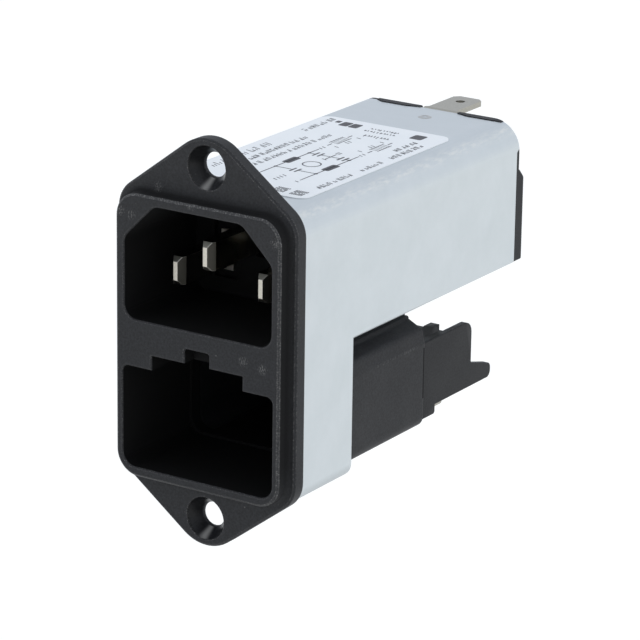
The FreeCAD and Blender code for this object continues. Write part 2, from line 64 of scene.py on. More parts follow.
def per(size):
    """Texture scale on Object coordinates for a feature of this size in millimetres."""
    return 1 / (size * MM)


def spot(x, y, z):
    """Place in millimetres as a vector in metres."""
    return Vector((x, y, z)) * MM


def fill(tree, node, inputs):
    """Give a node its inputs: each takes a value, or a socket to link."""
    for key, value in inputs.items():
        if isinstance(value, bpy.types.NodeSocket):
            tree.links.new(value, node.inputs[key])
        else:
            node.inputs[key].default_value = value


def add(tree, kind, inputs=None, **settings):
    """Add a shader node with its settings and inputs."""
    node = tree.nodes.new("ShaderNode" + kind)
    for name, value in settings.items():
        setattr(node, name, value)
    fill(tree, node, inputs or {})
    return node


def new_material(name):
    """New node material, with its tree, its shader and the Object coordinates."""
    material = bpy.data.materials.new(name)
    material.use_nodes = True
    tree = material.node_tree
    shader = tree.nodes["Principled BSDF"]
    place = add(tree, "TexCoord").outputs["Object"]
    return material, tree, shader, place


# Black plastic. Lengths are in millimetres: the flange's back is at y = 0, and the front looks along -Y.

PLASTIC_LOW = "#141517"
PLASTIC_HIGH = "#242528"
# Near black of the painted shade in the recesses, along the block's seam and round the bezel's foot
PLASTIC_SHADE = "#030303"
# Pale grey of the rubbed edges, dust and scuffs, and also of the painted highlights and of the painted light on the
# carrier's shelf
PLASTIC_PALE = "#969592"
HOLE_Z = 25.0
BEZEL_FRONT = -4.85
BEZEL_CORNER = (9.95, 0, 16.85)
BEZEL_R = 3.5
BEZEL_RIM = 0.3
RUB_LINE = 0.09
FRONT_END = 0.4
EDGE_SOFT = 0.3
BLOCK_SOFT = 0.9

# Boxes that the masks are fitted to: limits in y and z, in x or z folded about the middle, or in distance from a hole
MOUTHS = {"across": (-1, 12.42), "depth": (-4.5, 13.3), "off_middle": (-1, 19.02)}
BAY_REAR = {"across": (-1, 9.5), "depth": (13.2, 32.7), "off_middle": (-1, 19.02)}
BEZEL_FOOT = {"depth": (-4.45, -2.2)}
COUNTERSINK = {"off_hole": (1.86, 3.12), "depth": (-2.5, 0.5)}
BLOCK_SIDES = {"across": (9.8, 13.3), "depth": (13.5, 32.5)}
BLOCK_TOP_EDGE = {"across": (12.5, 13.4), "depth": (20.5, 31.5), "height": (-7.05, -6.6)}
# The block's seam gets a painted shadow line
BLOCK_SEAM_SHADOW = {"across": (11.5, 13.6), "depth": (32.85, 33.5), "height": (-15.0, -7.4)}
CARRIER = {"depth": (33.2, 54.0), "height": (-20.0, -6.0)}
# The carrier's shelf gets painted light, where the can's shadow falls
CARRIER_SHELF = {"across": (7.0, 12.2), "depth": (33.2, 40.4), "height": (-7.1, -6.0)}

# The shade round the bezel's foot: where it starts, its reach below and above, and the heights between which these
# and its strength change
SHADE_START = 3.6
SHADE_REACH = (4.75, 4.2)
SHADE_NARROWS = (14.0, 19.0)
SHADE_GROWS = (-20.0, -14.0)

# Heights between which the front gets paler
PALER_RISE = (-6.0, 20.0)

# Places and radii of the scuffs, the way of each countersink's painted highlight streak and of its side clear of
# painted shade, and the way that the edges with pale wear and painted highlight face
SCUFFS = ((7.7, -4.85, -0.1), (10.8, -4.85, -0.65), (-10.8, -4.85, 17.3), (12.6, -4.85, 17.2),
          (-12.6, -4.85, 17.5), (-0.8, -4.8, 20.1), (-7.9, -2.6, 21.1))
SCUFF_R = 0.9
SCUFF_CORE = 0.2
CONE_HIGHLIGHT_WAY = (-0.16, 0, -1)
CONE_LIT_WAY = (0.8, 0, -0.6)
EDGE_LIT_WAY = (0.5, 0, 0.87)

# Strength of each mark and of each painted highlight, shade and light, where one is full
EDGE_WEAR_AND_HIGHLIGHT = 0.36
CHAMFER_WEAR_AND_HIGHLIGHT = 0.4
CONE_HIGHLIGHT = 0.9
CONE_SHADE = 0.62
SPECK = 0.3
SCUFF = 0.35
BLOCK_SCUFF = 0.09
SHELF_LIGHT = 0.1
CARRIER_DULL = 0.22


def plastic_axes(tree, place):
    """Coordinates for the masks, as they are and folded about the middle."""
    folded = add(tree, "VectorMath", {0: place}, operation="ABSOLUTE").outputs["Vector"]
    signed = add(tree, "SeparateXYZ", {"Vector": place}).outputs
    mirror = add(tree, "SeparateXYZ", {"Vector": folded}).outputs
    return {"folded": folded, "x": signed["X"], "depth": signed["Y"], "height": signed["Z"],
            "across": mirror["X"], "off_middle": mirror["Z"]}


def between(tree, axes, box):
    """Mask that is one where each coordinate lies between the box's two limits for it."""
    mask = 1.0
    for name, (low, high) in box.items():
        side = add(tree, "Math", {0: axes[name], 1: (low + high) / 2 * MM, 2: (high - low) / 2 * MM},
                   operation="COMPARE")
        mask = add(tree, "Math", {0: side.outputs["Value"], 1: mask}, operation="MULTIPLY").outputs["Value"]
    return mask


def off_bezel_corner(tree, axes):
    """Distance outside the rectangle whose corners are the centres of the bezel's corner roundings."""
    corner = add(tree, "VectorMath", {0: axes["folded"], 1: spot(*BEZEL_CORNER)}, operation="SUBTRACT")
    corner = add(tree, "VectorMath", {0: corner.outputs["Vector"], 1: (0, 0, 0)}, operation="MAXIMUM")
    corner = add(tree, "VectorMath", {0: corner.outputs["Vector"], 1: (1, 0, 1)}, operation="MULTIPLY")
    return add(tree, "VectorMath", {0: corner.outputs["Vector"]}, operation="LENGTH").outputs["Value"]


def painted_shade_places(tree, axes, off_corner):
    """Two masks: the two recesses, and all that is painted in shade, near black: the recesses, a painted shadow line
    along the block's seam and painted shade round the bezel's foot. That shade is narrower at the top and fainter at
    the bottom."""
    recess = add(tree, "Math", {0: between(tree, axes, MOUTHS), 1: between(tree, axes, BAY_REAR)},
                 operation="MAXIMUM").outputs["Value"]
    spread = add(tree, "MapRange", {"Value": axes["height"],
                                    "From Min": SHADE_NARROWS[0] * MM, "From Max": SHADE_NARROWS[1] * MM,
                                    "To Min": SHADE_REACH[0] * MM, "To Max": SHADE_REACH[1] * MM})
    shade = add(tree, "MapRange", {"Value": off_corner, "From Min": spread.outputs["Result"],
                                   "From Max": SHADE_START * MM})
    fade = add(tree, "MapRange", {"Value": axes["height"], "From Min": SHADE_GROWS[0] * MM,
                                  "From Max": SHADE_GROWS[1] * MM, "To Min": 0.2, "To Max": 0.8})
    foot = add(tree, "Math", {0: shade.outputs["Result"], 1: fade.outputs["Result"]}, operation="MULTIPLY")
    foot = add(tree, "Math", {0: foot.outputs["Value"], 1: between(tree, axes, BEZEL_FOOT)}, operation="MULTIPLY")
    painted_shade = add(tree, "Math", {0: recess, 1: between(tree, axes, BLOCK_SEAM_SHADOW)}, operation="MAXIMUM")
    painted_shade = add(tree, "Math", {0: painted_shade.outputs["Value"], 1: foot.outputs["Value"]}, operation="MAXIMUM")
    return recess, painted_shade.outputs["Value"]


def countersinks(tree, axes):
    """Three masks: the two cones, a painted highlight streak on the lower side of each, and painted shade on each
    cone's side away from the light."""
    off = add(tree, "Math", {0: axes["off_middle"], 1: HOLE_Z * MM}, operation="SUBTRACT")
    way = add(tree, "Math", {0: axes["height"]}, operation="SIGN")
    rise = add(tree, "Math", {0: off.outputs["Value"], 1: way.outputs["Value"]}, operation="MULTIPLY")
    radial = add(tree, "CombineXYZ", {"X": axes["x"], "Z": rise.outputs["Value"]}).outputs["Vector"]
    off_hole = add(tree, "VectorMath", {0: radial}, operation="LENGTH").outputs["Value"]
    cone = between(tree, {**axes, "off_hole": off_hole}, COUNTERSINK)
    heading = add(tree, "VectorMath", {0: radial}, operation="NORMALIZE").outputs["Vector"]
    # Painted highlight: a soft radial streak on each cone
    toward = add(tree, "VectorMath", {0: heading, 1: CONE_HIGHLIGHT_WAY}, operation="DOT_PRODUCT")
    streak = add(tree, "MapRange", {"Value": toward.outputs["Value"], "From Min": 0.945, "From Max": 1.013,
                                    "To Max": CONE_HIGHLIGHT})
    streak = add(tree, "Math", {0: streak.outputs["Result"], 1: 3.0}, operation="POWER")
    cone_highlight = add(tree, "Math", {0: cone, 1: streak.outputs["Value"]}, operation="MULTIPLY")
    # Painted shade on each cone's side away from the light
    aside = add(tree, "VectorMath", {0: heading, 1: CONE_LIT_WAY}, operation="DOT_PRODUCT")
    cone_shade = add(tree, "MapRange", {"Value": aside.outputs["Value"], "From Min": -0.4, "From Max": 0.8,
                                   "To Min": CONE_SHADE, "To Max": 0.0})
    cone_shade = add(tree, "Math", {0: cone, 1: cone_shade.outputs["Result"]}, operation="MULTIPLY")
    return cone, cone_highlight.outputs["Value"], cone_shade.outputs["Value"]


def worn_and_lit_edges(tree, place, axes, off_corner, rounded, facet):
    """Mask of the edges that are rubbed pale and carry a painted highlight, broken up by a fine noise. On the bezel's
    rim it is two thin lines with a fainter chamfer between them, and elsewhere every edge; as painted highlight it is
    stronger on the sides that face up and to the right."""
    bend = add(tree, "VectorMath", {0: rounded, 1: facet}, operation="DOT_PRODUCT")
    edge = add(tree, "MapRange", {"Value": bend.outputs["Value"], "From Min": 0.995, "From Max": 0.93})
    slant = add(tree, "SeparateXYZ", {"Vector": facet}).outputs["Y"]
    chamfer = add(tree, "Math", {0: slant, 1: -0.707, 2: 0.15}, operation="COMPARE")
    chamfer = add(tree, "Math", {0: chamfer.outputs["Value"], 1: CHAMFER_WEAR_AND_HIGHLIGHT}, operation="MULTIPLY")
    outer = add(tree, "Math", {0: axes["depth"], 1: (BEZEL_FRONT + BEZEL_RIM) * MM, 2: RUB_LINE * MM},
                operation="COMPARE")
    inner = add(tree, "Math", {0: off_corner, 1: (BEZEL_R - BEZEL_RIM) * MM, 2: RUB_LINE * MM}, operation="COMPARE")
    rim = add(tree, "Math", {0: outer.outputs["Value"], 1: inner.outputs["Value"]}, operation="MAXIMUM")
    rim = add(tree, "Math", {0: rim.outputs["Value"], 1: chamfer.outputs["Value"]}, operation="MAXIMUM")
    proud = add(tree, "Math", {0: axes["depth"], 1: (BEZEL_FRONT + 1.5 * BEZEL_RIM) * MM}, operation="LESS_THAN")
    beside = add(tree, "Math", {0: off_corner, 1: (BEZEL_R - 2 * BEZEL_RIM) * MM}, operation="GREATER_THAN")
    beside = add(tree, "Math", {0: beside.outputs["Value"], 1: proud.outputs["Value"]}, operation="MULTIPLY")
    edge = add(tree, "Mix", {"Factor": beside.outputs["Value"], "A": edge.outputs["Result"],
                             "B": rim.outputs["Value"]})
    # Painted highlight: edges facing up and to the right are paler
    upward = add(tree, "VectorMath", {0: rounded, 1: EDGE_LIT_WAY}, operation="DOT_PRODUCT")
    lit_side = add(tree, "MapRange", {"Value": upward.outputs["Value"], "From Min": -0.5, "From Max": 0.5,
                                   "To Min": 0.4})
    strength = add(tree, "Math", {0: lit_side.outputs["Result"], 1: EDGE_WEAR_AND_HIGHLIGHT}, operation="MULTIPLY")
    edge_break_noise = add(tree, "TexNoise", {"Vector": place, "Scale": per(0.22), "Detail": 3.0, "Roughness": 0.7})
    patchy_wear_and_highlight = add(tree, "MapRange", {"Value": edge_break_noise.outputs["Fac"], "From Min": 0.5, "From Max": 0.72,
                                    "To Min": 0.17, "To Max": 2.0})
    worn_and_lit = add(tree, "Math", {0: edge.outputs["Result"], 1: patchy_wear_and_highlight.outputs["Result"]}, operation="MULTIPLY")
    return add(tree, "Math", {0: worn_and_lit.outputs["Value"], 1: strength.outputs["Value"]},
               operation="MULTIPLY").outputs["Value"]


def dust_and_scuffs(tree, place, axes):
    """Mask of the dust specks, of the scuffs on the front, and of a faint line along the block's upper edge."""
    cells = add(tree, "TexVoronoi", {"Vector": place, "Scale": per(1.1)})
    speck = add(tree, "MapRange", {"Value": cells.outputs["Distance"], "From Min": 0.12, "From Max": 0.06})
    split = add(tree, "SeparateColor", {"Color": cells.outputs["Color"]})
    rare = add(tree, "MapRange", {"Value": split.outputs["Red"], "From Min": 0.84, "From Max": 0.98,
                                  "To Max": SPECK})
    dust = add(tree, "Math", {0: speck.outputs["Result"], 1: rare.outputs["Result"]}, operation="MULTIPLY")
    scratch = add(tree, "Mapping", {"Vector": place, "Scale": (1.5, 1, 0.6)})
    crumbs = add(tree, "TexNoise", {"Vector": scratch.outputs["Vector"], "Scale": per(0.2), "Detail": 1.0})
    crumb = add(tree, "MapRange", {"Value": crumbs.outputs["Fac"], "From Min": 0.5, "From Max": 0.66})
    top_edge = between(tree, axes, BLOCK_TOP_EDGE)
    near = add(tree, "Math", {0: top_edge, 1: BLOCK_SCUFF}, operation="MULTIPLY").outputs["Value"]
    for scuff in SCUFFS:
        gap = add(tree, "VectorMath", {0: place, 1: spot(*scuff)}, operation="DISTANCE")
        close = add(tree, "MapRange", {"Value": gap.outputs["Value"], "From Min": SCUFF_R * MM,
                                       "From Max": SCUFF_CORE * MM, "To Max": SCUFF})
        near = add(tree, "Math", {0: near, 1: close.outputs["Result"]}, operation="MAXIMUM").outputs["Value"]
    mark = add(tree, "Math", {0: near, 1: crumb.outputs["Result"]}, operation="MULTIPLY")
    return add(tree, "Math", {0: dust.outputs["Value"], 1: mark.outputs["Value"]},
               operation="MAXIMUM").outputs["Value"]


def moulded_plastic():
    """Black glass-filled polyester, moulded in a spark-eroded tool: matt grey-black and mottled, rubbed pale along the
    bezel's edges with a painted highlight there, with dust specks and a few scuffs; the countersinks are smoother,
    each with a painted highlight streak and painted shade, and the recesses, the block's seam and the bezel's foot are
    painted in shade, near black, while the carrier's shelf gets painted light."""
    material, tree, shader, place = new_material("moulded_black_polyester")
    axes = plastic_axes(tree, place)
    off_corner = off_bezel_corner(tree, axes)
    recess, painted_shade = painted_shade_places(tree, axes, off_corner)
    cone, cone_highlight, cone_shade = countersinks(tree, axes)

    # Edges are rounded in the shading, and the fuse block's edges are softer than the front's.
    block = between(tree, axes, BLOCK_SIDES)
    softness = add(tree, "Math", {0: block, 1: (BLOCK_SOFT - EDGE_SOFT) * MM, 2: EDGE_SOFT * MM},
                   operation="MULTIPLY_ADD")
    rounded = add(tree, "Bevel", {"Radius": softness.outputs["Value"]}, samples=6).outputs["Normal"]
    facet = add(tree, "NewGeometry").outputs["Normal"]

    # Pale marks and painted highlights: the front's edges rubbed pale and painted with a highlight, a painted
    # highlight streak in each countersink, dust and scuffs, and none of them in the recesses
    front = add(tree, "Math", {0: axes["depth"], 1: FRONT_END * MM}, operation="LESS_THAN").outputs["Value"]
    worn_and_lit = worn_and_lit_edges(tree, place, axes, off_corner, rounded, facet)
    pale_and_highlight = add(tree, "Math", {0: worn_and_lit, 1: front}, operation="MULTIPLY").outputs["Value"]
    for mark in (cone_highlight, dust_and_scuffs(tree, place, axes)):
        pale_and_highlight = add(tree, "Math", {0: mark, 1: pale_and_highlight}, operation="MAXIMUM").outputs["Value"]
    outside = add(tree, "Math", {0: 1.0, 1: recess}, operation="SUBTRACT").outputs["Value"]
    pale_and_highlight = add(tree, "Math", {0: pale_and_highlight, 1: outside}, operation="MULTIPLY").outputs["Value"]

    # The eroded skin is finer than a pixel, so it is drawn three times as coarse.
    grain = add(tree, "TexNoise", {"Vector": place, "Scale": per(0.3), "Detail": 3.0, "Roughness": 0.6})
    mottle = add(tree, "MapRange", {"Value": grain.outputs["Fac"], "From Min": 0.34, "From Max": 0.66})
    skin = add(tree, "Mix", {"Factor": mottle.outputs["Result"], "A": linear(PLASTIC_LOW),
                             "B": linear(PLASTIC_HIGH)}, data_type="RGBA")

    # The front gets a little paler towards its top, and the carrier's shelf gets painted light where the can's shadow
    # falls on it.
    paler = add(tree, "MapRange", {"Value": axes["height"], "From Min": PALER_RISE[0] * MM,
                                    "From Max": PALER_RISE[1] * MM, "To Min": 0.007, "To Max": 0.026})
    paler = add(tree, "Math", {0: paler.outputs["Result"], 1: front}, operation="MULTIPLY")
    slope = add(tree, "SeparateXYZ", {"Vector": facet}).outputs["Z"]
    faces_up = add(tree, "Math", {0: slope, 1: 0.5}, operation="GREATER_THAN").outputs["Value"]
    shelf_lit = add(tree, "Math", {0: between(tree, axes, CARRIER_SHELF), 1: faces_up}, operation="MULTIPLY")
    paler = add(tree, "Math", {0: shelf_lit.outputs["Value"], 1: SHELF_LIGHT, 2: paler.outputs["Value"]},
                 operation="MULTIPLY_ADD")
    skin = add(tree, "Mix", {"Factor": paler.outputs["Value"], "A": skin.outputs["Result"],
                             "B": linear(PLASTIC_PALE)}, data_type="RGBA")

    # Darker on the carrier, and painted shade in the countersinks and in the recesses, along the block's seam and
    # round the bezel's foot
    carrier_and_shade = add(tree, "Math", {0: between(tree, axes, CARRIER), 1: CARRIER_DULL, 2: painted_shade}, operation="MULTIPLY_ADD")
    darker_and_shade = add(tree, "Math", {0: cone_shade, 1: carrier_and_shade.outputs["Value"]}, operation="ADD", use_clamp=True)
    ground = add(tree, "Mix", {"Factor": darker_and_shade.outputs["Value"], "A": skin.outputs["Result"],
                               "B": linear(PLASTIC_SHADE)}, data_type="RGBA")
    colour = add(tree, "Mix", {"Factor": pale_and_highlight, "A": ground.outputs["Result"], "B": linear(PLASTIC_PALE)},
                 data_type="RGBA")

    # Half matt in soft clouds, smoother in the countersinks, and dull in the deep places, less so on the recesses'
    # floors
    cloud = add(tree, "TexNoise", {"Vector": place, "Scale": per(5), "Detail": 3.0})
    gloss = add(tree, "MapRange", {"Value": cloud.outputs["Fac"], "To Min": 0.46, "To Max": 0.6})
    bottom = add(tree, "Math", {0: recess, 1: faces_up}, operation="MULTIPLY").outputs["Value"]
    for mask, roughness in ((cone, 0.28), (painted_shade, 0.9), (bottom, 0.68)):
        gloss = add(tree, "Mix", {"Factor": mask, "A": gloss.outputs["Result"], "B": roughness})
    normal = add(tree, "Mix", {"Factor": recess, "A": rounded, "B": facet}, data_type="VECTOR")
    relief = add(tree, "Bump", {"Height": grain.outputs["Fac"], "Strength": 0.2, "Distance": 0.05 * MM,
                                "Normal": normal.outputs["Result"]})
    fill(tree, shader, {"Base Color": colour.outputs["Result"], "Roughness": gloss.outputs["Result"],
                        "Normal": relief.outputs["Normal"], "Specular IOR Level": 0.25})
    return material


# Metals, film and ink, with lengths in millimetres

TIN_LOW = "#c4cbce"
TIN_HIGH = "#ced4d7"
# Darker grey of the painted dark reflection along the lowest bends
TIN_DARK_REFLECTION = "#a4abae"
# Pale grey of the painted highlight streaks on the near upper bend
TIN_BEND_HIGHLIGHT = "#e6e6e1"
LOW_BENDS_FROM = -18.8
LOW_BENDS_TO = -20.9
NEAR_BEND = (11.96, 0, 19.34)
NEAR_BEND_R = 1.3
NEAR_BEND_CORE = 0.2
FILM_LOW = "#e9eef0"
FILM_HIGH = "#f1f4f5"
INK_LOW = "#26272b"
INK_HIGH = "#4a4c53"
NICKEL_LOW = "#b3aea2"
NICKEL_HIGH = "#dedace"
# Tones of the tapers: the darker is painted shade on their undersides, the paler their lit upper faces
NICKEL_TAPER_SHADED = "#6a6860"
NICKEL_TAPER_LIT = "#a09e93"
# Pale of the painted highlight along the pins' edges
NICKEL_EDGE_HIGHLIGHT = "#e9e6dc"
PIN_ROOT = 11
PIN_EDGE = 0.12


def plated_sheet():
    """Tin-plated steel sheet, rolled and bent: a pale satin grey with faint rolling lines and soft clouds, darker
    along the lowest bends in a painted dark reflection, and with pale streaks of painted highlight along the near
    upper bend."""
    material, tree, shader, place = new_material("tin_plated_steel")
    stretch = add(tree, "Mapping", {"Vector": place, "Scale": (1, 0.06, 1)})
    lines = add(tree, "TexNoise", {"Vector": stretch.outputs["Vector"], "Scale": per(0.4), "Detail": 2.0})
    cloud = add(tree, "TexNoise", {"Vector": place, "Scale": per(6), "Detail": 5.0, "Roughness": 0.65})
    blotch = add(tree, "MapRange", {"Value": cloud.outputs["Fac"], "From Min": 0.25, "From Max": 0.75})
    tone = add(tree, "Mix", {"Factor": blotch.outputs["Result"], "A": linear(TIN_LOW), "B": linear(TIN_HIGH)},
               data_type="RGBA")
    height = add(tree, "SeparateXYZ", {"Vector": place}).outputs["Z"]
    # Painted dark reflection along the lowest bends
    low = add(tree, "MapRange", {"Value": height, "From Min": LOW_BENDS_FROM * MM, "From Max": LOW_BENDS_TO * MM})
    tone = add(tree, "Mix", {"Factor": low.outputs["Result"], "A": tone.outputs["Result"], "B": linear(TIN_DARK_REFLECTION)},
               data_type="RGBA")
    # Painted highlight in pale streaks along the near upper bend
    section = add(tree, "VectorMath", {0: place, 1: (1, 0, 1)}, operation="MULTIPLY")
    off_bend = add(tree, "VectorMath", {0: section.outputs["Vector"], 1: spot(*NEAR_BEND)}, operation="DISTANCE")
    near_bend = add(tree, "MapRange", {"Value": off_bend.outputs["Value"], "From Min": NEAR_BEND_R * MM,
                                       "From Max": NEAR_BEND_CORE * MM})
    streak = add(tree, "Mapping", {"Vector": place, "Scale": (1, 0.3, 1)})
    patch = add(tree, "TexNoise", {"Vector": streak.outputs["Vector"], "Scale": per(0.6), "Detail": 4.0,
                                   "Roughness": 0.65})
    patchy = add(tree, "MapRange", {"Value": patch.outputs["Fac"], "From Min": 0.42, "From Max": 0.7, "To Max": 0.6})
    patchy_wear_and_highlight = add(tree, "Math", {0: near_bend.outputs["Result"], 1: patchy.outputs["Result"]}, operation="MULTIPLY")
    colour = add(tree, "Mix", {"Factor": patchy_wear_and_highlight.outputs["Value"], "A": tone.outputs["Result"],
                               "B": linear(TIN_BEND_HIGHLIGHT)}, data_type="RGBA")
    gloss = add(tree, "MapRange", {"Value": cloud.outputs["Fac"], "To Min": 0.3, "To Max": 0.46})
    relief = add(tree, "Bump", {"Height": lines.outputs["Fac"], "Strength": 0.05, "Distance": 0.02 * MM})
    fill(tree, shader, {"Base Color": colour.outputs["Result"], "Roughness": gloss.outputs["Result"],
                        "Normal": relief.outputs["Normal"], "Metallic": 1})
    return material


def label_film():
    """White polyester film, smooth: an even bluish white with a weak gloss."""
    material, tree, shader, place = new_material("white_polyester_film")
    cloud = add(tree, "TexNoise", {"Vector": place, "Scale": per(5), "Detail": 2.0})
    tone = add(tree, "Mix", {"Factor": cloud.outputs["Fac"], "A": linear(FILM_LOW), "B": linear(FILM_HIGH)},
               data_type="RGBA")
    fill(tree, shader, {"Base Color": tone.outputs["Result"], "Roughness": 0.45})
    return material


def printed_ink():
    """Thermal-transfer ink: soft black with small breaks, so that the print looks grey at a distance."""
    material, tree, shader, place = new_material("thermal_transfer_ink")
    breaks = add(tree, "TexNoise", {"Vector": place, "Scale": per(0.3), "Detail": 2.0})
    tone = add(tree, "Mix", {"Factor": breaks.outputs["Fac"], "A": linear(INK_LOW), "B": linear(INK_HIGH)},
               data_type="RGBA")
    fill(tree, shader, {"Base Color": tone.outputs["Result"], "Roughness": 0.5})
    return material


def nickel_plate():
    """Nickel over stamped brass, tumbled: bright warm grey with a painted highlight along the edges. The flanks are
    smooth and mirror the dark recess; the tapered tips are satin and darker, with painted shade on their undersides,
    and the roots behind are satin too."""
    material, tree, shader, place = new_material("nickel_plated_brass")
    grain = add(tree, "TexNoise", {"Vector": place, "Scale": per(0.25), "Detail": 3.0})
    tone = add(tree, "Mix", {"Factor": grain.outputs["Fac"], "A": linear(NICKEL_LOW), "B": linear(NICKEL_HIGH)},
               data_type="RGBA")
    facet = add(tree, "NewGeometry").outputs["Normal"]
    lean = add(tree, "SeparateXYZ", {"Vector": facet}).outputs
    taper = add(tree, "Math", {0: lean["Y"], 1: -0.2}, operation="LESS_THAN").outputs["Value"]
    depth = add(tree, "SeparateXYZ", {"Vector": place}).outputs["Y"]
    root = add(tree, "Math", {0: depth, 1: PIN_ROOT * MM}, operation="GREATER_THAN").outputs["Value"]
    satin = add(tree, "Math", {0: taper, 1: root}, operation="MAXIMUM").outputs["Value"]
    brushed = add(tree, "MapRange", {"Value": grain.outputs["Fac"], "To Min": 0.3, "To Max": 0.5})
    gloss = add(tree, "Mix", {"Factor": satin, "A": 0.14, "B": brushed.outputs["Result"]})
    tip = add(tree, "Math", {0: lean["Y"], 1: -0.6, 2: 0.35}, operation="COMPARE").outputs["Value"]
    # Painted shade: the tapers' undersides take the darker tone
    lit_side = add(tree, "Math", {0: lean["Z"], 1: 0.2}, operation="GREATER_THAN").outputs["Value"]
    taper_lit_and_shaded = add(tree, "Mix", {"Factor": lit_side, "A": linear(NICKEL_TAPER_SHADED), "B": linear(NICKEL_TAPER_LIT)},
                  data_type="RGBA")
    tone = add(tree, "Mix", {"Factor": tip, "A": tone.outputs["Result"], "B": taper_lit_and_shaded.outputs["Result"]},
               data_type="RGBA")
    rounded = add(tree, "Bevel", {"Radius": PIN_EDGE * MM}, samples=6).outputs["Normal"]
    # Painted highlight along the edges
    bend = add(tree, "VectorMath", {0: rounded, 1: facet}, operation="DOT_PRODUCT")
    edge = add(tree, "MapRange", {"Value": bend.outputs["Value"], "From Min": 0.99, "From Max": 0.9, "To Max": 0.8})
    tone = add(tree, "Mix", {"Factor": edge.outputs["Result"], "A": tone.outputs["Result"],
                             "B": linear(NICKEL_EDGE_HIGHLIGHT)}, data_type="RGBA")
    relief = add(tree, "Bump", {"Height": grain.outputs["Fac"], "Strength": 0.25, "Distance": 0.03 * MM,
                                "Normal": rounded})
    fill(tree, shader, {"Base Color": tone.outputs["Result"], "Roughness": gloss.outputs["Result"],
                        "Normal": relief.outputs["Normal"], "Metallic": 1})
    return material


def grained(name, low, high, grain_size, roughness, metallic=0.0):
    """Plain stuff in two shades with a grain of that size in millimetres, which also roughens its surface."""
    material, tree, shader, place = new_material(name)
    grain = add(tree, "TexNoise", {"Vector": place, "Scale": per(grain_size), "Detail": 3.0})
    tone = add(tree, "Mix", {"Factor": grain.outputs["Fac"], "A": linear(low), "B": linear(high)},
               data_type="RGBA")
    relief = add(tree, "Bump", {"Height": grain.outputs["Fac"], "Strength": 0.12, "Distance": 0.02 * MM})
    fill(tree, shader, {"Base Color": tone.outputs["Result"], "Normal": relief.outputs["Normal"],
                        "Metallic": metallic, "Roughness": roughness})
    return material


finishes = {
    "housing_black": moulded_plastic(),
    "can_plated": plated_sheet(),
    "label_film": label_film(),
    "pin_nickel": nickel_plate(),
    # Tinned brass strip, stamped: a dull warm grey
    "tab_tinned": grained("tinned_brass", "#98968d", "#b4b2a9", grain_size=0.25, roughness=0.4, metallic=1.0),
    # Glass-filled laminate under lacquer: dark green with a weak gloss
    "board": grained("glass_epoxy_laminate", "#1c4a2b", "#2a6138", grain_size=0.5, roughness=0.4),
    # Sintered ferrite: dull charcoal with a sandy grain
    "ferrite": grained("sintered_ferrite", "#2b2b2d", "#46464a", grain_size=0.2, roughness=0.7),
    # Enamelled copper wire: red-brown metal with a soft gloss
    "winding": grained("enamelled_copper", "#7a3a1a", "#a85a2c", grain_size=0.4, roughness=0.3, metallic=1.0),
    # Moulded polyester box of the film capacitor: even ochre yellow
    "film_capacitor": grained("moulded_yellow_polyester", "#b89a2c", "#c9ac3c", grain_size=0.6, roughness=0.45),
    # Epoxy dip of the disc capacitors: blue, slightly uneven and glossy
    "disc_capacitor": grained("blue_epoxy_dip", "#274f86", "#3564a0", grain_size=0.8, roughness=0.35),
    # Lacquered ceramic body of the resistor: sandy brown
    "resistor": grained("lacquered_ceramic", "#a88a5e", "#bd9f72", grain_size=0.5, roughness=0.4),
}
for row in frame["record"]["subparts"]:
    node = nodes[row["node"]]
    node.data.materials.clear()
    node.data.materials.append(finishes[row["material_slot"]])


# Print on the label: strokes and fields laid out in millimetres, u from the label's front end, v from its far edge

INK_LIFT = 0.004 * MM
INK_T = 0.012 * MM
TICK_W = 0.16
LINE_W = 0.18
PLATE_W = 0.3
BOX_EDGE_W = 0.14
HATCH_W = 0.11
TICK_LEAN = 0.22

# Small print as start, end, v (or u) and height
PRINT_ROWS = ((6.5, 21, 2.1, 1.4), (29.8, 37.2, 2.1, 1.1), (12.5, 26.5, 4.4, 1.05), (10.5, 30, 6.5, 1.05),
              (5.7, 13.6, 20.3, 1.0), (16.5, 22.2, 20.3, 1.0), (24.3, 32.6, 20.3, 1.0), (28, 33.4, 18.7, 0.95))
PRINT_COLUMNS = ((10.7, 14.6, 32.6, 1.0), (9.3, 14.2, 34.9, 0.7), (9.6, 14.4, 36.2, 0.7))

# The circuit's two lines as v and their coil box's u, and its bridges as u, leads in v, plate ends in u and plates' v
LINE_ENDS = (7.6, 22.6)
LINES = ((9.5, 14.0), (16.2, 13.7))
COIL_L = 3.2
COIL_W = 1.3
DOT_R = 0.22
DOT_W = 0.45
TAIL_TICKS = (22.9, 23.7, 6.7)
BRIDGES = ((11.6, ((9.5, 12.4), (13.2, 16.2)), (10.7, 12.5), (12.4, 13.2)),
           (20.1, ((9.5, 10.6), (11.4, 14.7), (15.5, 16.2)), (19.2, 21.1), (10.6, 11.4, 14.7, 15.5)))
CROSS_V = 13.1
CROSS_ENDS = (18.6, 21.6)
CROSS_TICKS = (18.4, 21.9, 22.4)
SIDE_TICKS = (6.0, 6.8, 7.5, 8.3)
RING_AT = (15.4, 13.0)
RING_R = 1.4
RING_W = 0.2

